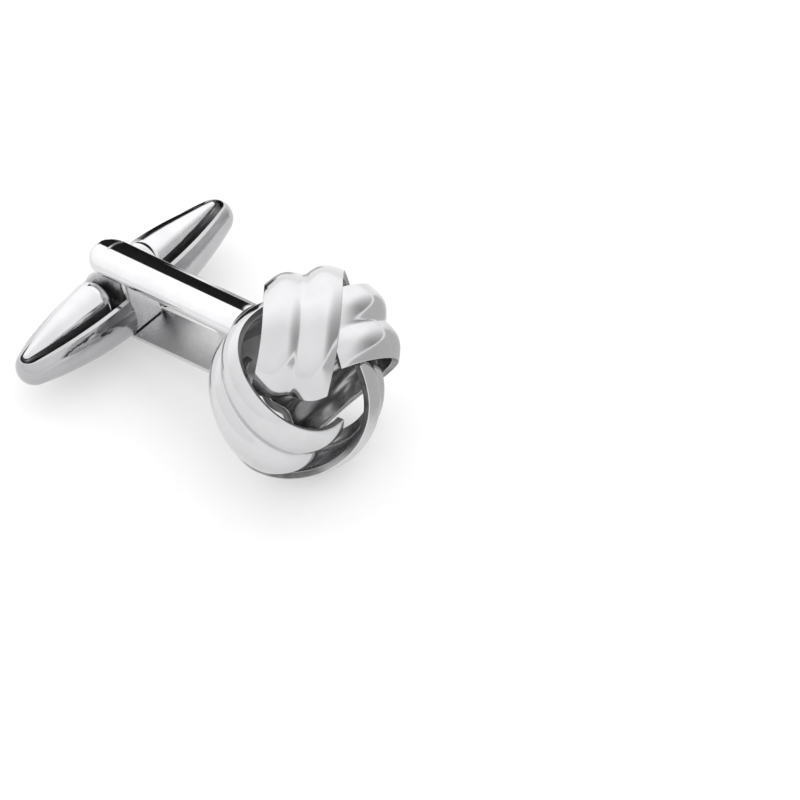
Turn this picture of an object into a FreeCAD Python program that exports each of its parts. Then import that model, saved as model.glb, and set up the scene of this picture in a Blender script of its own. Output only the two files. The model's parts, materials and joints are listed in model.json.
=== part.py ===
import FreeCAD, Part
import math
import os
import Sketcher

# A love-knot cufflink with a swivel toggle, in millimetres.
# The model is drawn in the post's own frame: the toggle's pivot is the origin, +X runs along
# the post to the knot, +Y along the toggle and +Z up the hinge pin. A common placement then
# lays the whole link on the table, resting on the knot and the lower leg's free end, with
# the origin under the middle of the link.

doc = FreeCAD.newDocument("Cufflink")
sheet = doc.addObject("Spreadsheet::Sheet", "Sizes")

sizes = [
    # Toggle: a torpedo-shaped boat with two bullets lying in it
    ("boat_radius", 2.55),
    ("boat_drop", 0.36),
    ("boat_half_length", 9.8),
    ("boat_tip_radius", 1.25),
    ("boat_wall", 0.6),
    ("boat_tip_wall", 0.4),
    ("boat_rim_middle", 0.95),
    ("boat_rim_tip", 0.5),
    ("boat_far_rim", 0.25),
    ("boat_near_rim", 1.1),
    ("boat_flat_step", 0.05),
    ("boat_flat_round", 0.4),
    ("bullet_gap", 0.35),
    ("bullet_lift", 0.42),
    ("bullet_seat_gap", 0.08),
    ("bullet_shoulder_gap", 0.2),
    ("bullet_shoulder_round", 0.9),
    # Hub: the block in the toggle's middle that turns on the pin
    ("hub_half_height", 2.05),
    ("hub_half_width", 1.45),
    ("hub_front", 1.75),
    ("hub_corner_round", 0.35),
    ("hub_back_round", 1.75),
    ("hub_seat_gap", 0.05),
    # Hinge pin, squared in the middle for the spring to click on
    ("pin_radius", 0.7),
    ("pin_hole_depth", 0.55),
    ("pin_end_gap", 0.03),
    ("pin_hole_gap", 0.02),
    ("pin_running_gap", 0.05),
    ("pin_square_half", 0.5),
    ("pin_square_margin", 0.15),
    # Leaf spring in a tunnel through the hub, behind the pin
    ("spring_half_width", 0.8),
    ("spring_thick", 0.25),
    ("spring_pin_gap", 0.05),
    ("spring_gap", 0.06),
    # Bracket: a U-shaped strap with two crowned legs
    ("leg_width", 3.0),
    ("leg_thick", 0.9),
    ("leg_crown", 0.6),
    ("leg_gap", 0.15),
    ("leg_gap_taper", 0.2),
    ("leg_tail", 1.9),
    ("leg_end_flat", 0.2),
    ("leg_edge_round", 0.5),
    ("web_thick", 1.0),
    ("web_tip_gap", 0.65),
    ("web_corner_round", 0.5),
    # Seat: the disc between the bracket and the knot
    ("seat_radius", 2.7),
    ("seat_thick", 0.6),
    ("seat_edge_round", 0.15),
    ("seat_knot_gap", 0.05),
    # Knot: four strips of one form, each a C that winds over one neighbour and under the other,
    # cut at its front end to a length of its own
    ("knot_ring_radius", 4.567),
    ("knot_swing_radial", 1.469),
    ("knot_swing_axial", 2.514),
    ("knot_pinch_radial", 0.39),
    ("knot_pinch_axial", 0.528),
    ("strip_width", 5.04),
    ("strip_thick", 0.5),
    ("strip_ridge", 0.443),
    ("strip_drop", 0.163),
    ("strip_back_turn_deg", 126.0),
    ("strip_1_front_turn_deg", 118.0),
    ("strip_2_front_turn_deg", 102.0),
    ("strip_3_front_turn_deg", 108.0),
    ("strip_4_front_turn_deg", 132.0),
    ("strip_skew_deg", 7.277),
    ("strip_twist_deg", -13.35),
    ("strip_lean_share", 0.714),
    ("knot_turn_deg", -13.2),
    # One overrun for all the cuts
    ("overrun", 1.0),
]
for row, (alias, number) in enumerate(sizes, 1):
    sheet.set(f"A{row}", alias)
    sheet.set(f"B{row}", str(number))
    sheet.setAlias(f"B{row}", alias)
doc.recompute()


class Size:
    """A size with its value and its formula in the sheet's own names."""

    def __init__(self, value, text):
        self.value = value
        self.text = text

    @staticmethod
    def of(other):
        return other if isinstance(other, Size) else Size(other, f"({other})")

    def __float__(self):
        return float(self.value)

    def __add__(self, other):
        other = Size.of(other)
        return Size(self.value + other.value, f"({self.text} + {other.text})")

    def __sub__(self, other):
        other = Size.of(other)
        return Size(self.value - other.value, f"({self.text} - {other.text})")

    def __mul__(self, other):
        other = Size.of(other)
        return Size(self.value * other.value, f"({self.text} * {other.text})")

    def __truediv__(self, other):
        other = Size.of(other)
        return Size(self.value / other.value, f"({self.text} / {other.text})")

    def __rmul__(self, other):
        return Size.of(other) * self

    def __neg__(self):
        return Size.of(-1) * self


def size(alias):
    return Size(float(sheet.get(alias)), f"Sizes.{alias}")


def root(inner):
    return Size(math.sqrt(inner.value), f"sqrt({inner.text})")


def bind(item, path, value):
    item.setExpression(path, value.text)


nothing = Size(0.0, "0")
overrun = size("overrun")
pieces = []


def new_body(label):
    body = doc.addObject("PartDesign::Body", label)
    body.Label = label
    pieces.append(body)
    return body


def new_sketch(body, role, name, shift=None):
    """A sketch on one of the body's own origin planes, moved off it by the shift."""
    sketch = body.newObject("Sketcher::SketchObject", name)
    plane = next(item for item in body.Origin.OriginFeatures if item.Role == role)
    sketch.AttachmentSupport = [(plane, "")]
    sketch.MapMode = "FlatFace"
    if shift is not None:
        bind(sketch, "AttachmentOffset.Base.z", shift)
    return sketch


def hold(sketch, kind, geometry, point, value, name):
    """Hold one coordinate of a point at a size, or on the axis where the size is nothing."""
    if value is nothing:
        axis = -2 if kind == "DistanceX" else -1
        sketch.addConstraint(Sketcher.Constraint("PointOnObject", geometry, point, axis))
        return
    sketch.addConstraint(Sketcher.Constraint(kind, geometry, point, float(value)))
    sketch.renameConstraint(sketch.ConstraintCount - 1, name)
    bind(sketch, f"Constraints.{name}", value)


def draw_outline(sketch, name, corners, bends=None):
    """A closed outline through the corners. A bend makes the side after its corner an arc, given
    as (centre x, centre y, radius, turn), where the turn is 1 anticlockwise and -1 clockwise."""
    bends = bends or {}
    first = sketch.GeometryCount
    count = len(corners)
    ends = []
    for i in range(count):
        start = FreeCAD.Vector(float(corners[i][0]), float(corners[i][1]), 0)
        stop_corner = corners[(i + 1) % count]
        stop = FreeCAD.Vector(float(stop_corner[0]), float(stop_corner[1]), 0)
        if i in bends:
            cx, cy, radius, turn = bends[i]
            centre = FreeCAD.Vector(float(cx), float(cy), 0)
            circle = Part.Circle(centre, FreeCAD.Vector(0, 0, 1), float(radius))
            near, far = (start, stop) if turn > 0 else (stop, start)
            begin = math.atan2(near.y - centre.y, near.x - centre.x)
            finish = math.atan2(far.y - centre.y, far.x - centre.x)
            if finish < begin:
                finish += 2 * math.pi
            sketch.addGeometry(Part.ArcOfCircle(circle, begin, finish))
            ends.append((1, 2) if turn > 0 else (2, 1))
        else:
            sketch.addGeometry(Part.LineSegment(start, stop))
            ends.append((1, 2))
    for i in range(count):
        following = (i + 1) % count
        sketch.addConstraint(Sketcher.Constraint(
            "Coincident", first + i, ends[i][1], first + following, ends[following][0]))
    for i in range(count):
        hold(sketch, "DistanceX", first + i, ends[i][0], corners[i][0], f"{name}_x{i}")
        hold(sketch, "DistanceY", first + i, ends[i][0], corners[i][1], f"{name}_y{i}")
    for i, bend in bends.items():
        sketch.addConstraint(Sketcher.Constraint("Radius", first + i, float(bend[2])))
        sketch.renameConstraint(sketch.ConstraintCount - 1, f"{name}_r{i}")
        bind(sketch, f"Constraints.{name}_r{i}", bend[2])


def draw_box(sketch, name, left, right, low, high):
    draw_outline(sketch, name, [(left, low), (right, low), (right, high), (left, high)])


def draw_circle(sketch, name, radius):
    circle = Part.Circle(FreeCAD.Vector(0, 0, 0), FreeCAD.Vector(0, 0, 1), float(radius))
    index = sketch.addGeometry(circle)
    sketch.addConstraint(Sketcher.Constraint("Coincident", index, 3, -1, 1))
    sketch.addConstraint(Sketcher.Constraint("Radius", index, float(radius)))
    sketch.renameConstraint(sketch.ConstraintCount - 1, name)
    bind(sketch, f"Constraints.{name}", radius)


def both_ways(body, kind, name, sketch, length):
    """A pad or a pocket of the whole length, half of it on each side of the sketch."""
    feature = body.newObject(kind, name)
    feature.Profile = sketch
    feature.SideType = "Symmetric"
    bind(feature, "Length", length)
    doc.recompute()
    return feature


def spin(body, kind, name, sketch):
    """A full turn of the sketch about its own upright axis."""
    feature = body.newObject(kind, name)
    feature.Profile = sketch
    feature.ReferenceAxis = (sketch, ["V_Axis"])
    feature.Angle = 360
    doc.recompute()
    return feature


def round_edges(body, name, wanted, radius):
    """Round the edges whose middle point the test picks out."""
    shape = body.Shape
    names = []
    for index, edge in enumerate(shape.Edges, 1):
        middle = edge.valueAt((edge.FirstParameter + edge.LastParameter) / 2)
        if wanted(edge, middle):
            names.append(f"Edge{index}")
    feature = body.newObject("PartDesign::Fillet", name)
    feature.Base = (body.Tip if body.Tip != feature else feature.BaseFeature, names)
    bind(feature, "Radius", radius)
    doc.recompute()
    return feature


def torpedo(radius, half_length, tip_radius):
    """Points of a torpedo's half outline about the upright axis: flank arc and tip arc meet
    smoothly. Gives the flank's radius and centre, and the point where the tip begins."""
    reach = half_length - tip_radius
    flank = (radius * radius + reach * reach - tip_radius * tip_radius) / (2 * (radius - tip_radius))
    share = tip_radius / (flank - tip_radius)
    meet = ((flank - radius) * share, reach + reach * share)
    return flank, radius - flank, meet, reach


def torpedo_outline(sketch, name, radius, half_length, tip_radius):
    flank, centre, meet, reach = torpedo(radius, half_length, tip_radius)
    draw_outline(
        sketch, name,
        [(nothing, -half_length), (meet[0], -meet[1]), (meet[0], meet[1]), (nothing, half_length)],
        {0: (nothing, -reach, tip_radius, 1),
         1: (centre, nothing, flank, 1),
         2: (nothing, reach, tip_radius, 1)})


def near(a, b):
    return abs(a - float(b)) < 1e-3 * float(pin_radius)


# Toggle boat: the outer torpedo, hollowed about the bullets' axis, open on top along a rim that
# slopes down to the far side, flat underneath to pass between the legs and cut away in the
# middle for the hub
pin_radius = size("pin_radius")
boat_radius = size("boat_radius")
boat_half_length = size("boat_half_length")
boat_wall = size("boat_wall")
bullet_lift = size("bullet_lift")
hub_half_height = size("hub_half_height")
hub_half_width = size("hub_half_width")
hub_seat_gap = size("hub_seat_gap")
boat_rim_middle = size("boat_rim_middle")
boat_rim_tip = size("boat_rim_tip")

hollow_radius = boat_radius - boat_wall
hollow_half_length = boat_half_length - size("boat_tip_wall")
hollow_tip_radius = size("boat_tip_radius") - boat_wall
boat_drop = size("boat_drop")
boat_flat = hub_half_height - size("boat_flat_step")
window_back = boat_radius - boat_wall
window_half_width = hub_half_width + hub_seat_gap
boat_side = boat_radius + boat_drop + overrun
boat_end = boat_half_length + overrun

boat = new_body("toggle_boat")
hull = new_sketch(boat, "XY_Plane", "boat_outline", -boat_drop)
torpedo_outline(hull, "hull", boat_radius, boat_half_length, size("boat_tip_radius"))
spin(boat, "PartDesign::Revolution", "boat_hull", hull)
hollow = new_sketch(boat, "XY_Plane", "boat_hollow_outline", bullet_lift)
torpedo_outline(hollow, "hollow", hollow_radius, hollow_half_length, hollow_tip_radius)
spin(boat, "PartDesign::Groove", "boat_hollow", hollow)
rim = new_sketch(boat, "YZ_Plane", "boat_rim_outline")
draw_outline(rim, "rim", [
    (-boat_half_length, boat_rim_tip), (nothing, boat_rim_middle), (boat_half_length, boat_rim_tip),
    (boat_end, boat_rim_tip), (boat_end, boat_side), (-boat_end, boat_side), (-boat_end, boat_rim_tip)])
both_ways(boat, "PartDesign::Pocket", "boat_rim", rim, 2 * boat_side)
far_rim = new_sketch(boat, "XZ_Plane", "boat_far_rim_outline")
draw_outline(far_rim, "far_rim", [
    (-boat_radius, size("boat_far_rim")), (boat_radius, size("boat_near_rim")),
    (boat_radius, boat_side), (-boat_radius, boat_side)])
both_ways(boat, "PartDesign::Pocket", "boat_far_rim", far_rim, 2 * boat_end)
flat = new_sketch(boat, "YZ_Plane", "boat_flat_outline")
draw_box(flat, "flat", -boat_end, boat_end, -boat_side, -boat_flat)
both_ways(boat, "PartDesign::Pocket", "boat_flat", flat, 2 * boat_side)
round_edges(
    boat, "boat_flat_edges",
    lambda edge, middle: near(edge.BoundBox.ZMax, -boat_flat), size("boat_flat_round"))
window = new_sketch(boat, "XY_Plane", "boat_window_outline")
draw_box(window, "window", -window_back, boat_side, -window_half_width, window_half_width)
both_ways(boat, "PartDesign::Pocket", "boat_window", window, 2 * boat_side)

# Toggle bullets: solid torpedo halves with a rounded shoulder beside the hub, set back against
# the boat's far wall so that a groove stays open on the knot's side
bullet_gap = size("bullet_gap")
bullet_radius = hollow_radius - bullet_gap
bullet_tip_radius = hollow_tip_radius - bullet_gap
bullet_half_length = hollow_half_length - bullet_gap
bullet_start = window_half_width + size("bullet_shoulder_gap")
bullet_set_back = bullet_gap - size("bullet_seat_gap")
flank, centre, meet, reach = torpedo(bullet_radius, bullet_half_length, bullet_tip_radius)
bullet_start_radius = root(flank * flank - bullet_start * bullet_start) + centre
bullets = []
for label in ("toggle_bullet_left", "toggle_bullet_right"):
    bullet = new_body(label)
    side = new_sketch(bullet, "XY_Plane", f"{label}_outline")
    draw_outline(
        side, "bullet",
        [(nothing, bullet_start), (bullet_start_radius, bullet_start), (meet[0], meet[1]),
         (nothing, bullet_half_length)],
        {1: (centre, nothing, flank, 1), 2: (nothing, reach, bullet_tip_radius, 1)})
    spin(bullet, "PartDesign::Revolution", f"{label}_solid", side)
    round_edges(
        bullet, f"{label}_shoulder",
        lambda edge, middle: edge.Closed and near(edge.BoundBox.YMax, bullet_start),
        size("bullet_shoulder_round"))
    bullets.append(bullet)

# Toggle hub: the block that fills the boat's window, bored for the pin and tunnelled for the spring
spring_half_width = size("spring_half_width")
spring_thick = size("spring_thick")
spring_gap = size("spring_gap")
hub_front = size("hub_front")
hub_back = window_back - hub_seat_gap
bore_radius = pin_radius + size("pin_running_gap")
spring_front = bore_radius
spring_back = spring_front + spring_thick
tunnel_front = size("pin_square_half")
tunnel_back = spring_back + spring_gap
tunnel_half = spring_half_width + spring_gap

hub = new_body("toggle_hub")
block = new_sketch(hub, "XY_Plane", "hub_outline")
draw_box(block, "block", -hub_back, hub_front, -hub_half_width, hub_half_width)
both_ways(hub, "PartDesign::Pad", "hub_block", block, 2 * hub_half_height)
round_edges(
    hub, "hub_corners",
    lambda edge, middle: near(middle.z, nothing) and near(middle.x, hub_front),
    size("hub_corner_round"))
round_edges(
    hub, "hub_back",
    lambda edge, middle: near(middle.x, -hub_back) and near(abs(middle.z), hub_half_height),
    size("hub_back_round"))
bore = new_sketch(hub, "XY_Plane", "hub_bore_outline")
draw_circle(bore, "bore", bore_radius)
both_ways(hub, "PartDesign::Pocket", "hub_bore", bore, 2 * hub_half_height + overrun)
tunnel = new_sketch(hub, "XZ_Plane", "hub_tunnel_outline")
draw_box(tunnel, "tunnel", -tunnel_back, -tunnel_front, -tunnel_half, tunnel_half)
both_ways(hub, "PartDesign::Pocket", "hub_tunnel", tunnel, 2 * hub_half_width + overrun)

# Click spring: a flat leaf lying in the hub's tunnel, beside the pin's squared middle
spring = new_body("click_spring")
leaf = new_sketch(spring, "XZ_Plane", "spring_outline")
draw_box(leaf, "leaf", -spring_back, -spring_front, -spring_half_width, spring_half_width)
both_ways(spring, "PartDesign::Pad", "spring_leaf", leaf, 2 * (hub_half_width - spring_gap))

# Hinge pin: held at both ends in the legs' blind holes, squared where the spring bears on it
leg_half_gap = hub_half_height + size("leg_gap")
pin_half_length = leg_half_gap + size("pin_hole_depth") - size("pin_end_gap")
square_half = size("pin_square_half")
square_half_length = spring_half_width + size("pin_square_margin")
pin = new_body("hinge_pin")
shank = new_sketch(pin, "XY_Plane", "pin_outline")
draw_circle(shank, "shank", pin_radius)
both_ways(pin, "PartDesign::Pad", "pin_shank", shank, 2 * pin_half_length)
square = new_sketch(pin, "XY_Plane", "pin_square_outline")
draw_circle(square, "round", pin_radius + overrun)
draw_box(square, "square", -square_half, square_half, -square_half, square_half)
both_ways(pin, "PartDesign::Pocket", "pin_square", square, 2 * square_half_length)

# Bracket: a strap bent to a U, its legs crowned outside and rounded at their free ends, its inside
# narrowing a little from the pivot to the web
leg_thick = size("leg_thick")
leg_half_width = size("leg_width") / 2
leg_crown = size("leg_crown")
leg_tail = size("leg_tail")
leg_taper = size("leg_gap_taper")
web_face = boat_half_length + size("web_tip_gap")
web_back = web_face + size("web_thick")
leg_outside = leg_half_gap + leg_thick
tail_half_gap = leg_half_gap + leg_taper * leg_tail / web_face
web_half_gap = leg_half_gap - leg_taper
leg_shoulder = leg_outside - leg_crown
crown_radius = (leg_half_width * leg_half_width + leg_crown * leg_crown) / (2 * leg_crown)
crown_centre = leg_outside - crown_radius
above_leg = leg_outside + overrun

bracket = new_body("bracket")
strap = new_sketch(bracket, "XZ_Plane", "bracket_outline")
draw_outline(strap, "strap", [
    (-leg_tail, leg_outside), (-leg_tail, tail_half_gap), (web_face, web_half_gap),
    (web_face, -web_half_gap), (-leg_tail, -tail_half_gap), (-leg_tail, -leg_outside),
    (web_back, -leg_outside), (web_back, leg_outside)])
both_ways(bracket, "PartDesign::Pad", "bracket_strap", strap, 2 * leg_half_width)
round_edges(
    bracket, "bracket_ends",
    lambda edge, middle: near(middle.x, -leg_tail) and near(abs(middle.y), leg_half_width),
    leg_half_width - size("leg_end_flat") / 2)
round_edges(
    bracket, "bracket_web_corners",
    lambda edge, middle: near(middle.x, web_face) and near(abs(middle.z), web_half_gap),
    size("web_corner_round"))
crown = new_sketch(bracket, "YZ_Plane", "bracket_crown_outline")
draw_outline(
    crown, "top",
    [(-leg_half_width, leg_shoulder), (-leg_half_width, above_leg), (leg_half_width, above_leg),
     (leg_half_width, leg_shoulder)],
    {3: (nothing, crown_centre, crown_radius, 1)})
draw_outline(
    crown, "base",
    [(leg_half_width, -leg_shoulder), (leg_half_width, -above_leg), (-leg_half_width, -above_leg),
     (-leg_half_width, -leg_shoulder)],
    {3: (nothing, -crown_centre, crown_radius, 1)})
both_ways(bracket, "PartDesign::Pocket", "bracket_crown", crown, 2 * (web_back + overrun))
round_edges(
    bracket, "bracket_edges",
    lambda edge, middle: not near(middle.x, web_back)
    and near(math.hypot(middle.y, abs(middle.z) - float(crown_centre)), crown_radius),
    size("leg_edge_round"))
pin_hole = new_sketch(bracket, "XY_Plane", "bracket_hole_outline")
draw_circle(pin_hole, "hole", pin_radius + size("pin_hole_gap"))
both_ways(bracket, "PartDesign::Pocket", "bracket_holes", pin_hole,
          2 * (leg_half_gap + size("pin_hole_depth")))

# Knot seat: the disc on the bracket's web that carries the knot
seat = new_body("knot_seat")
disc = new_sketch(seat, "YZ_Plane", "seat_outline", web_back)
draw_circle(disc, "disc", size("seat_radius"))
plate = seat.newObject("PartDesign::Pad", "seat_disc")
plate.Profile = disc
bind(plate, "Length", size("seat_thick"))
doc.recompute()
round_edges(seat, "seat_edges", lambda edge, middle: edge.Closed, size("seat_edge_round"))

# Knot strips: a twin-ridged sheet strip swept along a closed four-lobed knot, cut to one C.
# The path is a ring about the post that swings in and out and to and fro as it goes round
strip_back_turn = math.radians(float(size("strip_back_turn_deg")))
strip_skew = math.radians(float(size("strip_skew_deg")))
strip_twist = math.radians(float(size("strip_twist_deg")))
knot_turn = math.radians(float(size("knot_turn_deg")))
strip_lean = float(size("strip_lean_share"))
ring_radius = float(size("knot_ring_radius"))
swing_radial = float(size("knot_swing_radial"))
swing_axial = float(size("knot_swing_axial"))
pinch_radial = float(size("knot_pinch_radial"))
pinch_axial = float(size("knot_pinch_axial"))
strip_half_width = float(size("strip_width")) / 2
strip_ridge = float(size("strip_ridge"))
strip_drop = float(size("strip_drop"))
strip_thick = float(size("strip_thick"))
strip_count = 4
ring_share = 0.75
section_count = 33
lobe_points = 9


def path_point(turn):
    """The strip's middle line, in the knot's frame with +X along the post."""
    swing = turn + strip_skew * math.sin(2 * turn)
    radius = ring_radius + swing_radial * math.cos(swing) + pinch_radial * math.cos(2 * swing)
    along = swing_axial * math.sin(swing) + pinch_axial * math.sin(2 * swing)
    angle = ring_share * turn + knot_turn
    return FreeCAD.Vector(along, radius * math.cos(angle), radius * math.sin(angle))


def section_axes(turn):
    """Across the strip and out of its face, square to the path."""
    step = strip_back_turn / 1e4
    ahead = (path_point(turn + step) - path_point(turn - step)).normalize()
    point = path_point(turn)
    out = FreeCAD.Vector(point.x, point.y * strip_lean, point.z * strip_lean)
    out = (out - ahead * out.dot(ahead)).normalize()
    across = ahead.cross(out)
    lean = strip_twist * math.sin(turn + strip_skew * math.sin(2 * turn))
    out = out * math.cos(lean) + across * math.sin(lean)
    return ahead.cross(out), out


def section_point(turn, across_share, depth):
    across, out = section_axes(turn)
    rise = strip_ridge * abs(math.sin(math.pi * across_share)) - strip_drop * across_share ** 2
    return path_point(turn) + across * (strip_half_width * across_share) + out * (rise - depth)


def lobe_edge(turn, start_share, stop_share, depth):
    shares = [i / (lobe_points - 1) for i in range(lobe_points)]
    points = [section_point(turn, start_share + (stop_share - start_share) * share, depth)
              for share in shares]
    curve = Part.BSplineCurve()
    curve.interpolate(Points=points, Parameters=shares)
    return curve.toShape()


def section_wire(turn):
    lobes = [lobe_edge(turn, -1, 0, 0), lobe_edge(turn, 0, 1, 0),
             lobe_edge(turn, 1, 0, strip_thick), lobe_edge(turn, 0, -1, strip_thick)]
    right = Part.makeLine(section_point(turn, 1, 0), section_point(turn, 1, strip_thick))
    left = Part.makeLine(section_point(turn, -1, strip_thick), section_point(turn, -1, 0))
    return Part.Wire([lobes[0], lobes[1], right, lobes[2], lobes[3], left])


def strip_solid(front_turn):
    whole_turn = strip_back_turn + front_turn
    turns = [whole_turn * i / (section_count - 1) - strip_back_turn for i in range(section_count)]
    return Part.makeLoft([section_wire(turn) for turn in turns], True, False)


strips = []
for k in range(strip_count):
    strip = doc.addObject("Part::Feature", f"knot_strip_{k + 1}")
    strip.Label = f"knot_strip_{k + 1}"
    strip.Shape = strip_solid(math.radians(float(size(f"strip_{k + 1}_front_turn_deg"))))
    strips.append(strip)
    pieces.append(strip)
doc.recompute()
knot_back = -min(strip.Shape.optimalBoundingBox(False).XMin for strip in strips)
knot_middle = float(web_back + size("seat_thick") + size("seat_knot_gap")) + knot_back

# Lay the link on the table: the tilt at which the knot and the legs touch it together
along_post = FreeCAD.Vector(1, 0, 0)
strip_places = [FreeCAD.Placement(FreeCAD.Vector(knot_middle, 0, 0),
                                  FreeCAD.Rotation(along_post, 360 * k / strip_count))
                for k in range(strip_count)]
mesh_fineness = strip_thick / 50
knot_points = [place.multVec(point) for strip, place in zip(strips, strip_places)
               for point in strip.Shape.tessellate(mesh_fineness)[0]]
back_points = [point for body in (bracket, boat) for point in body.Shape.tessellate(mesh_fineness)[0]]


def lowest(points, tilt):
    return min(point.x * math.sin(tilt) + point.z * math.cos(tilt) for point in points)


flatter, steeper = 0.0, math.radians(45)
while steeper - flatter > 1e-7:
    tilt = (flatter + steeper) / 2
    if lowest(knot_points, tilt) < lowest(back_points, tilt):
        flatter = tilt
    else:
        steeper = tilt
turned = FreeCAD.Rotation(FreeCAD.Vector(0, 1, 0), -math.degrees(tilt))

bullet_place = FreeCAD.Placement(
    FreeCAD.Vector(-float(bullet_set_back), 0, float(bullet_lift)), FreeCAD.Rotation())
about_pin = FreeCAD.Placement(FreeCAD.Vector(), FreeCAD.Rotation(FreeCAD.Vector(0, 0, 1), 180))
local_places = {"toggle_bullet_left": bullet_place, "toggle_bullet_right": bullet_place * about_pin}
for strip, place in zip(strips, strip_places):
    local_places[strip.Label] = place


def place_all(shift):
    whole = FreeCAD.Placement(shift, turned)
    for piece in pieces:
        piece.Placement = whole * local_places.get(piece.Label, FreeCAD.Placement())
    doc.recompute()
    return whole


place_all(FreeCAD.Vector())
box = FreeCAD.BoundBox()
for piece in pieces:
    box.add(piece.Shape.optimalBoundingBox(False))
whole = place_all(FreeCAD.Vector(-box.Center.x, -box.Center.y, -box.ZMin))

for item in doc.Objects:
    if {"Invalid", "Error"} & set(item.State):
        raise RuntimeError(f"{item.Label} failed: {item.State}")
for piece in pieces:
    shape = piece.Shape
    if shape.isNull() or not shape.isValid() or len(shape.Solids) != 1:
        raise RuntimeError(f"{piece.Label} is not one valid solid")

os.makedirs("parts", exist_ok=True)
for piece in pieces:
    piece.Shape.exportStep(f"parts/{piece.Label}.step")
    print(piece.Label, "volume", round(piece.Shape.Volume, 3))
print("tilt", round(math.degrees(tilt), 3), "knot middle from pivot", round(knot_middle, 4))
print("pivot", [round(value, 5) for value in whole.Base])
print("pin axis", [round(value, 6) for value in turned.multVec(FreeCAD.Vector(0, 0, 1))])
print("box", [round(value, 4) for value in (box.XLength, box.YLength, box.ZLength)])
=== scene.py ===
import json
import math

import bmesh
import bpy
from mathutils import Matrix, Vector


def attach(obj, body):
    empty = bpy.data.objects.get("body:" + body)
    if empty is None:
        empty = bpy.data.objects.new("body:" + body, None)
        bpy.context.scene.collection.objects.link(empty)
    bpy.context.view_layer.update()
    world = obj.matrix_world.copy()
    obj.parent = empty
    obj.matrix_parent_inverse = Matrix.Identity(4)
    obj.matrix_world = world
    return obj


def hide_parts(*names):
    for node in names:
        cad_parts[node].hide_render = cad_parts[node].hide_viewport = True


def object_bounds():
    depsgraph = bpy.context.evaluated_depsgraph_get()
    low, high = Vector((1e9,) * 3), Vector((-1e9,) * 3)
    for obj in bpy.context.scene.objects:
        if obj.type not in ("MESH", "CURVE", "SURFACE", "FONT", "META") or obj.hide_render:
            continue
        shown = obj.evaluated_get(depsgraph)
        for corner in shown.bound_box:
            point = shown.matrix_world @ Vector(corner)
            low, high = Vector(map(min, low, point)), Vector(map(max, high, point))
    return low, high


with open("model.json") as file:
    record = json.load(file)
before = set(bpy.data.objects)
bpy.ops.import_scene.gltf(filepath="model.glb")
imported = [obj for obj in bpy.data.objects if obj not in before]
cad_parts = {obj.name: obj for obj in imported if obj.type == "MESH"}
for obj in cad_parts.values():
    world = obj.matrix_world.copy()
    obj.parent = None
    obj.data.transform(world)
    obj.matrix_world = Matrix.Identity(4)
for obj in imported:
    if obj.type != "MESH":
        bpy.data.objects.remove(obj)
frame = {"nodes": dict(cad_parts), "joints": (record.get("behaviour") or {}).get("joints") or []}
cad_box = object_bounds()


# Bracket: one brass strap bent into a U, with legs crowned on the outside and rounded at their
# free ends. It is buffed to a mirror and plated, and the knot's seat is soldered to its web.
class Wire:
    """One socket of a finish. It joins sums as a number does, and node() adds any other node."""

    def __init__(self, tree, socket=None):
        self.tree = tree
        self.socket = socket

    def node(self, kind, settings=None, sockets=None, output=0):
        made = self.tree.nodes.new(kind)
        for name, value in (settings or {}).items():
            setattr(made, name, value)
        for name, value in (sockets or {}).items():
            if isinstance(value, Wire):
                self.tree.links.new(value.socket, made.inputs[name])
            else:
                made.inputs[name].default_value = value
        return Wire(self.tree, made.outputs[output] if made.outputs else None)

    def sums(self, operation, first, second):
        return self.node("ShaderNodeMath", {"operation": operation}, {0: first, 1: second})

    def __add__(self, other):
        return self.sums("ADD", self, other)

    def __sub__(self, other):
        return self.sums("SUBTRACT", self, other)

    def __rsub__(self, other):
        return self.sums("SUBTRACT", other, self)

    def __mul__(self, other):
        return self.sums("MULTIPLY", self, other)

    __radd__ = __add__
    __rmul__ = __mul__

    def size(self):
        """The value without its sign."""
        return self.node("ShaderNodeMath", {"operation": "ABSOLUTE"}, {0: self})

    def dot(self, way):
        """How far the place or direction reaches along a way."""
        return self.node("ShaderNodeVectorMath", {"operation": "DOT_PRODUCT"}, {0: self, 1: way}, "Value")

    def smooth(self, low, high):
        """Runs gently from 0 to 1 as the value goes from low to high."""
        return self.node("ShaderNodeMapRange", {"interpolation_type": "SMOOTHSTEP"},
                         {"Value": self, "From Min": low, "From Max": high})

    def noise(self, scale, detail):
        """Clouds over the places, with scale of them to a metre."""
        return self.node("ShaderNodeTexNoise", None, {"Vector": self, "Scale": scale, "Detail": detail})

    def blend(self, first, second):
        """The first colour where the share is 0, and the second where it is 1."""
        return self.node("ShaderNodeMix", {"data_type": "RGBA"}, {0: self, 6: first, 7: second}, 2)


def new_wire(owner):
    """Empties the nodes of a material or a world, ready for new ones."""
    owner.use_nodes = True
    owner.node_tree.nodes.clear()
    return Wire(owner.node_tree)


def new_finish(name):
    made = bpy.data.materials.new(name)
    return made, new_wire(made)


cloud_scale, cloud_detail = 330.0, 4.0
cloud_edge = (0.35, 0.7)
grain_scale, grain_detail = 2600.0, 3.0
cloud_share = 0.6
grain_relief = 0.25
satin_pale = (0.60, 0.60, 0.60, 1)
satin_dull = (0.46, 0.46, 0.47, 1)
satin_roughness = 0.30


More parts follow.
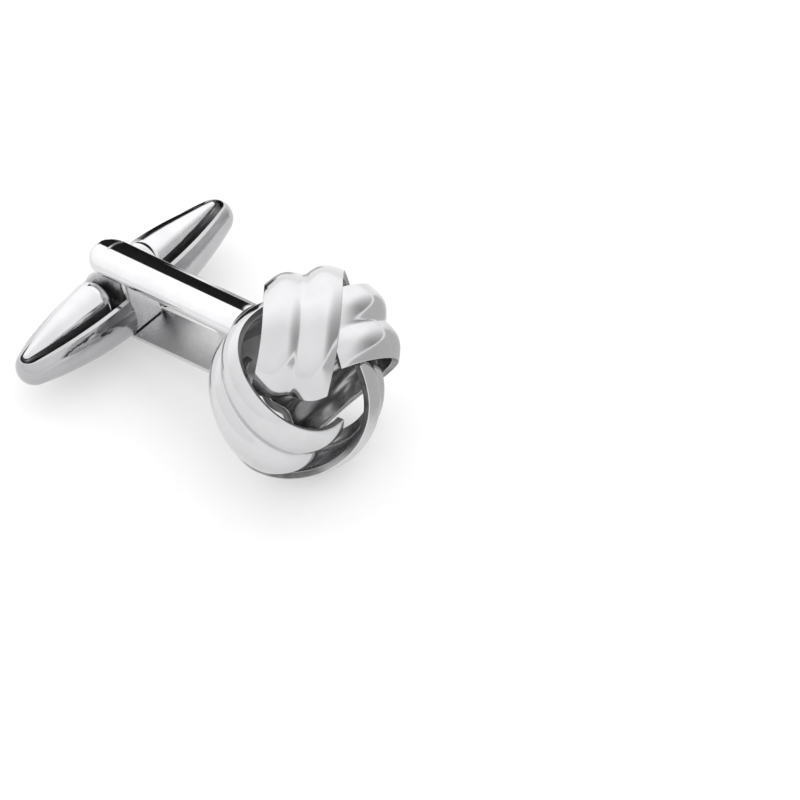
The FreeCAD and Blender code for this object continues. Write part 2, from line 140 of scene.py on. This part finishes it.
def plated(name, pale, dull, gloss, spread, peel, unbuffed=None):
    """Plate over brass: clouds of a duller tone, a roughness from gloss up, and a faint orange peel.
    Where the unbuffed share is 1, the plate stays greyer and satin."""
    finish, wire = new_finish(name)
    place = wire.node("ShaderNodeTexCoord", output="Object")
    clouds = place.noise(cloud_scale, cloud_detail)
    grain = place.noise(grain_scale, grain_detail)
    tone = clouds.smooth(*cloud_edge).blend(pale, dull)
    roughness = gloss + spread * (cloud_share * clouds + (1 - cloud_share) * grain)
    if unbuffed:
        share = unbuffed(wire, place)
        tone = share.blend(tone, grain.blend(satin_pale, satin_dull))
        roughness = roughness + satin_roughness * share
    relief = wire.node("ShaderNodeBump", None, {"Height": clouds + grain_relief * grain, "Distance": peel})
    coat = wire.node("ShaderNodeBsdfPrincipled", None, {
        "Base Color": tone, "Metallic": 1.0, "Roughness": roughness, "Normal": relief})
    wire.node("ShaderNodeOutputMaterial", None, {"Surface": coat})
    return finish


def show(piece, *finishes):
    piece.data.materials.clear()
    for finish in finishes:
        piece.data.materials.append(finish)


# The sizes of all the pieces are in millimetres
mm = 0.001
swivel = frame["joints"][0]
pivot = Vector(swivel["pos_m"])
pin_up = Vector(swivel["axis"])
toggle_way = Vector((0, 1, 0))
post_way = toggle_way.cross(pin_up)
buffed_from, buffed_full = 2.08, 2.25


def between_legs(wire, place):
    """The share of the bracket's surface that the buffing wheel can't reach."""
    height = (place.dot(pin_up) - pivot.dot(pin_up)).size()
    return 1 - height.smooth(buffed_from * mm, buffed_full * mm)


leg_plate = plated("leg plate", pale=(0.72, 0.72, 0.73, 1), dull=(0.66, 0.66, 0.67, 1),
                   gloss=0.04, spread=0.06, peel=2e-6, unbuffed=between_legs)
show(frame["nodes"]["bracket"], leg_plate)

# Leg bead: a hair-thin raised line over the far half of the upper leg's crown, just past the pin,
# left by the tool that closes the strap on the pin and buffed with the leg.
post = Matrix.Translation(pivot) @ Matrix((post_way, toggle_way, pin_up)).transposed().to_4x4()
post_mm = post @ Matrix.Scale(mm, 4)
crown_radius, crown_middle_up = 2.175, 0.925
bead_along = -0.57
bead_radius = 0.09
bead_sink = 0.03
bead_start, bead_stop = math.radians(3.0), math.radians(-31.0)
bead_sides, bead_steps = 16, 24


def new_object(name, mesh):
    """Makes a mesh an object of the scene, at the origin."""
    made = bpy.data.objects.new(name, bpy.data.meshes.new(name))
    mesh.to_mesh(made.data)
    mesh.free()
    bpy.context.scene.collection.objects.link(made)
    return made


def new_piece(name, mesh, body):
    """Makes a mesh a smooth piece that moves with a body."""
    piece = new_object(name, mesh)
    piece.data.shade_smooth()
    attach(piece, body)
    return piece


bead = bmesh.new()
ring = bmesh.ops.create_circle(bead, cap_ends=True, segments=bead_sides, radius=bead_radius)["verts"]
bmesh.ops.rotate(bead, verts=ring, matrix=Matrix.Rotation(math.pi / 2, 3, "X"))
bmesh.ops.translate(bead, verts=ring, vec=(bead_along, 0, crown_middle_up + crown_radius - bead_sink))
crown_middle = (bead_along, 0, crown_middle_up)
bmesh.ops.rotate(bead, verts=ring, cent=crown_middle, matrix=Matrix.Rotation(bead_start, 3, "X"))
bmesh.ops.spin(bead, geom=bead.faces[:], cent=crown_middle, axis=(1, 0, 0),
               angle=bead_stop - bead_start, steps=bead_steps)
bmesh.ops.recalc_face_normals(bead, faces=bead.faces)
bmesh.ops.transform(bead, verts=bead.verts, matrix=post_mm)
# The bead is given a paler plate than the leg's: a painted highlight, so that the raised bead shows as a
# bright line across the crown.
bead_painted_highlight = plated("bead painted highlight", pale=(0.82, 0.82, 0.83, 1), dull=(0.74, 0.74, 0.75, 1),
                    gloss=0.34, spread=0.1, peel=1e-6)
show(new_piece("leg_bead", bead, "link"), bead_painted_highlight)

# Hinge pin: a drawn steel pin, squared in its middle, that sits in blind holes in the two legs.
# Only its turned ends show, in the gaps beside the hub.
steel = plated("drawn steel", pale=(0.56, 0.56, 0.57, 1), dull=(0.46, 0.46, 0.46, 1),
               gloss=0.22, spread=0.16, peel=4e-6)
show(frame["nodes"]["hinge_pin"], steel)

# Knot seat: the stamped disc on the bracket's web that carries the knot. It is plated
# like the rest but never buffed, and shows only through the knot's openings.
unbuffed_plate = plated("unbuffed plate", pale=(0.62, 0.62, 0.62, 1), dull=(0.40, 0.40, 0.41, 1),
                        gloss=0.22, spread=0.25, peel=1.2e-5)
show(frame["nodes"]["knot_seat"], unbuffed_plate)

# Knot strips: four strips of sheet with two raised ridges each, wound over one neighbour and under
# the other, cut to lengths of their own and soldered together. Their faces are buffed to a soft
# shine and plated, while their backs and cut edges stay raw and grey.
knot_middle = 16.1646
knot_turn = math.radians(-13.2)
ring_radius = 4.567
ring_pace = 0.75
swing_radial, pinch_radial = 1.469, 0.39
swing_axial, pinch_axial = 2.514, 0.528
strip_half_width = 2.52
strip_thick = 0.5
strip_ridge, strip_drop = 0.443, 0.163
strip_turns = [(-126.0, 118.0), (-126.0, 102.0), (-126.0, 108.0), (-126.0, 132.0)]
strip_skew = math.radians(7.277)
strip_twist = math.radians(-13.35)
strip_lean = 0.714
valley_soft = 0.035
small_turn = 1e-4
steps_along, steps_across = 200, 44
edge_round, edge_steps = 0.15, 4
edge_sharp = math.radians(65.0)


def strip_swing(turn):
    """How far the strip has swung in and out after a turn, a little ahead of it or behind it."""
    return turn + strip_skew * math.sin(2 * turn)


def strip_line(turn):
    """The strip's middle line about the knot's middle, with +X along the post."""
    swing = strip_swing(turn)
    radius = ring_radius + swing_radial * math.cos(swing) + pinch_radial * math.cos(2 * swing)
    angle = ring_pace * turn + knot_turn
    along = swing_axial * math.sin(swing) + pinch_axial * math.sin(2 * swing)
    return Vector((along, radius * math.cos(angle), radius * math.sin(angle)))


def strip_face(turn, share):
    """A point of the strip's face, share of the half width from its middle line."""
    middle = strip_line(turn)
    run = (strip_line(turn + small_turn) - strip_line(turn - small_turn)).normalized()
    out = Vector((middle.x, middle.y * strip_lean, middle.z * strip_lean))
    out = (out - run * out.dot(run)).normalized()
    twist = strip_twist * math.sin(strip_swing(turn))
    out = out * math.cos(twist) + run.cross(out) * math.sin(twist)
    rise = strip_ridge * math.sin(math.pi * math.hypot(share, valley_soft)) - strip_drop * share ** 2
    return middle + run.cross(out) * (strip_half_width * share) + out * rise


strip_plate = plated("strip plate", pale=(0.63, 0.63, 0.64, 1), dull=(0.58, 0.58, 0.59, 1),
                     gloss=0.07, spread=0.08, peel=2e-6)
raw_back = plated("raw back", pale=(0.50, 0.50, 0.50, 1), dull=(0.38, 0.38, 0.39, 1),
                  gloss=0.14, spread=0.2, peel=5e-6)
cut_edge = plated("cut edge", pale=(0.42, 0.42, 0.42, 1), dull=(0.10, 0.10, 0.10, 1),
                  gloss=0.24, spread=0.3, peel=3e-5)
for number, (back_turn, front_turn) in enumerate(strip_turns, 1):
    sheet = bmesh.new()
    bmesh.ops.create_grid(sheet, x_segments=steps_along, y_segments=steps_across, size=1.0)
    for corner in sheet.verts:
        turn = (front_turn + back_turn + (front_turn - back_turn) * corner.co.x) / 2
        corner.co = strip_face(math.radians(turn), -corner.co.y)
    wound = Matrix.Rotation(math.tau * (number - 1) / len(strip_turns), 4, "X")
    bmesh.ops.transform(sheet, verts=sheet.verts,
                        matrix=post_mm @ Matrix.Translation((knot_middle, 0, 0)) @ wound)
    strip = new_piece(f"knot_strip_{number}_face", sheet, "link")
    show(strip, strip_plate, raw_back, cut_edge)
    wall = strip.modifiers.new("wall", "SOLIDIFY")
    wall.thickness = strip_thick * mm
    wall.offset = -1.0
    wall.material_offset = 1
    wall.material_offset_rim = 2
    rounded = strip.modifiers.new("rounded", "BEVEL")
    rounded.width = edge_round * mm
    rounded.segments = edge_steps
    rounded.limit_method = "ANGLE"
    rounded.angle_limit = edge_sharp
    rounded.material = 0
    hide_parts(f"knot_strip_{number}")

# Toggle hub: the milled block in the toggle's middle, bored for the pin. It is soldered
# into the boat's window, and its satin end shows between the legs.
hub_plate = plated("hub plate", pale=(0.72, 0.72, 0.73, 1), dull=(0.63, 0.63, 0.64, 1),
                   gloss=0.18, spread=0.16, peel=3e-6)
show(frame["nodes"]["toggle_hub"], hub_plate)

# Click spring: a blued leaf in a tunnel through the hub, which snaps on the pin's flats.
# Only its two ends show, at the hub's sides.
spring_blue = plated("spring steel", pale=(0.34, 0.35, 0.37, 1), dull=(0.25, 0.26, 0.28, 1),
                     gloss=0.2, spread=0.12, peel=2e-6)
show(frame["nodes"]["click_spring"], spring_blue)

# Toggle boat: an open torpedo-shaped shell, pressed from sheet and buffed with the rest.
# It turns with the hub, and its rim stands round the two bullets.
boat_hollow_up = 0.42
hollow_deep, hollow_rim = -0.3, -0.1


def inside_boat(wire, place):
    """The share of the boat's surface that looks towards its own long axis."""
    outward = wire.node("ShaderNodeTexCoord", output="Normal")
    across = (place.dot(post_way) - pivot.dot(post_way)) * outward.dot(post_way)
    upward = (place.dot(pin_up) - pivot.dot(pin_up) - boat_hollow_up * mm) * outward.dot(pin_up)
    return 1 - (across + upward).smooth(hollow_deep * mm, hollow_rim * mm)


# The boat's plate is the same as the rest but is given a darker grey: painted shade, for the shadowed
# table that its sides reflect.
boat_plate_painted_shade = plated("boat plate painted shade", pale=(0.48, 0.48, 0.49, 1), dull=(0.43, 0.43, 0.44, 1),
                    gloss=0.04, spread=0.06, peel=2e-6, unbuffed=inside_boat)
show(frame["nodes"]["toggle_boat"], boat_plate_painted_shade)

# Toggle bullets: two solid torpedo halves with rounded shoulders, soldered in the boat
# so that a dark groove stays open between them and its rim.
mirror_plate = plated("mirror plate", pale=(0.68, 0.68, 0.69, 1), dull=(0.63, 0.63, 0.64, 1),
                      gloss=0.05, spread=0.06, peel=2e-6)
show(frame["nodes"]["toggle_bullet_left"], mirror_plate)
show(frame["nodes"]["toggle_bullet_right"], mirror_plate)

# Table: a sheet of white paper that runs on past the picture's edges.
# It is matt, and keeps the soft grey shadow under the link.
floor_reach = 3000.0
floor_below = 0.01
floor_dark, floor_pale = 0.69, 0.71
floor_glow = 0.28
fibre_scale, fibre_detail = 900.0, 3.0


def grey(level):
    return (level, level, level, 1)


def matt_paper(wire, dark, pale):
    """Matt paper with a faint grain of fibres, from a dark to a pale level of grey."""
    fibre = wire.node("ShaderNodeTexCoord", output="Object").noise(fibre_scale, fibre_detail)
    return wire.node("ShaderNodeBsdfDiffuse", None, {"Color": fibre.blend(grey(dark), grey(pale))})


floor_white, wire = new_finish("white floor")
floor_matt = matt_paper(wire, floor_dark, floor_pale)
glow = wire.node("ShaderNodeEmission", None, {"Color": grey(1.0), "Strength": floor_glow})
floor_bright = wire.node("ShaderNodeAddShader", None, {0: floor_matt, 1: glow})
seen = wire.node("ShaderNodeLightPath", output="Is Camera Ray")
mirrored = wire.node("ShaderNodeLightPath", output="Is Glossy Ray")
passed = wire.node("ShaderNodeLightPath", output="Is Transmission Ray")
floor_shown = wire.node("ShaderNodeMixShader", None,
                        {0: seen + mirrored + passed, 1: floor_matt, 2: floor_bright})
wire.node("ShaderNodeOutputMaterial", None, {"Surface": floor_shown})
sheet = bmesh.new()
bmesh.ops.create_grid(sheet, x_segments=1, y_segments=1, size=floor_reach * mm)
bmesh.ops.translate(sheet, verts=sheet.verts, vec=(0, 0, cad_box[0].z - floor_below * mm))
floor = new_object("floor", sheet)
show(floor, floor_white)

# Cards: a black flag just behind the upper leg, a black and a white one on either side of the
# toggle's far half, and a grey sheet on the table behind the knot that stands in as painted shade of the
# table there. Only polished metal shows them.
# Each has a tone, the share of it that is soft edge, what it stands by, one corner and two sides.
table_mm = Matrix.Scale(mm, 4)
card_spread = 0.2
cards = [("leg_flag", 0.014, 0.02, post_mm, (-5.6, 3.0, 2.9), (15.5, 0.0, 0.0), (-2.0, 0.0, 4.2)),
         ("toggle_flag", 0.014, 0.3, table_mm, (-11.5, 2.5, 0.05), (0.0, 12.0, 0.0), (-4.0, 0.0, 8.0)),
         ("groove_flag", 0.7, 0.3, table_mm, (-4.5, 3.0, 2.5), (0.0, 12.0, 0.0), (0.0, 0.0, 6.5)),
         ("knot_shade_card", 0.52, 0.08, table_mm, (0.0, 1.5, 0.05), (120.0, 0.0, 0.0), (0.0, 110.0, 0.0))]


def card_finish(name, tone, soft):
    """Matt card of one tone, which thins out softly at its edges."""
    finish, wire = new_finish(name)
    matt = matt_paper(wire, (1 - card_spread) * tone, (1 + card_spread) * tone)
    across = wire.node("ShaderNodeTexCoord", output="UV")
    share = 1.0
    for way in ((1, 0, 0), (0, 1, 0)):
        place = across.dot(way)
        share = place.smooth(0.0, soft) * (1 - place.smooth(1 - soft, 1.0)) * share
    clear = wire.node("ShaderNodeBsdfTransparent")
    thinned = wire.node("ShaderNodeMixShader", None, {0: share, 1: clear, 2: matt})
    wire.node("ShaderNodeOutputMaterial", None, {"Surface": thinned})
    return finish


for name, tone, soft, stand, corner, along, rise in cards:
    card = bmesh.new()
    card.loops.layers.uv.new("across")
    bmesh.ops.create_grid(card, x_segments=1, y_segments=1, size=0.5, calc_uvs=True)
    span = Matrix((along, rise, Vector(along).cross(rise))).transposed().to_4x4()
    half = Matrix.Translation((0.5, 0.5, 0))
    bmesh.ops.transform(card, verts=card.verts, matrix=stand @ Matrix.Translation(corner) @ span @ half)
    stood = new_object(name, card)
    stood.visible_camera = False
    stood.visible_diffuse = False
    stood.visible_shadow = False
    stood.visible_transmission = False
    show(stood, card_finish(f"{name} paper", tone, soft))

# Light tent: white cloth all round, a little brighter overhead and brightest behind the table,
# with one greyer low corner, so that the plate shows soft shades of grey.
look_azimuth = math.radians(41.8)
look_elevation = math.radians(48.9)
ahead = Vector((-math.sin(look_azimuth), math.cos(look_azimuth), 0))
aside = Vector((math.cos(look_azimuth), math.sin(look_azimuth), 0))
corner_way = Vector((0.643, 0.766, 0))
cloth_level = 1.05
roof_gain, roof_edge = 0.12, (-0.1, 0.6)
back_gain, back_edge, back_foot = 0.3, (-0.2, 0.6), (-0.3, 0.15)
corner_loss, corner_edge = 0.68, (0.65, 1.0)
tent = bpy.data.worlds.new("light tent")
bpy.context.scene.world = tent
wire = new_wire(tent)
gaze = wire.node("ShaderNodeTexCoord", output="Generated")
height = gaze.dot(Vector((0, 0, 1)))
roof = height.smooth(*roof_edge)
back = gaze.dot(ahead).smooth(*back_edge) * height.smooth(*back_foot)
low_corner = gaze.dot(corner_way).smooth(*corner_edge)
cloth = cloth_level + roof_gain * roof + back_gain * back - corner_loss * low_corner
lit = wire.node("ShaderNodeCombineColor", None, {0: cloth, 1: cloth, 2: cloth})
tent_glow = wire.node("ShaderNodeBackground", None, {"Color": lit, "Strength": 1.0})
wire.node("ShaderNodeOutputWorld", None, {"Surface": tent_glow})

# Camera: a long lens that looks down on the link from the knot's side.
# It is placed so that the toggle's pivot falls on its own pixel of the picture.
picture = 800
pivot_pixel = Vector((124.0, 287.5))
pixels_per_metre = 15500.0
camera_reach = 0.75
look = ahead * math.cos(look_elevation) - Vector((0, 0, math.sin(look_elevation)))
up = aside.cross(look)
lens = bpy.data.cameras.new("camera")
lens.sensor_width = 36.0
lens.lens = pixels_per_metre * camera_reach / picture * lens.sensor_width
lens.clip_start = 0.01
lens.clip_end = 20.0
camera = bpy.data.objects.new("camera", lens)
tripod = pivot - look * camera_reach
tripod -= aside * ((pivot_pixel.x - picture / 2) / pixels_per_metre)
tripod -= up * ((picture / 2 - pivot_pixel.y) / pixels_per_metre)
camera.matrix_world = Matrix.Translation(tripod) @ Matrix((aside, up, -look)).transposed().to_4x4()
bpy.context.scene.collection.objects.link(camera)
bpy.context.scene.camera = camera
bpy.context.scene.view_settings.view_transform = "Standard"
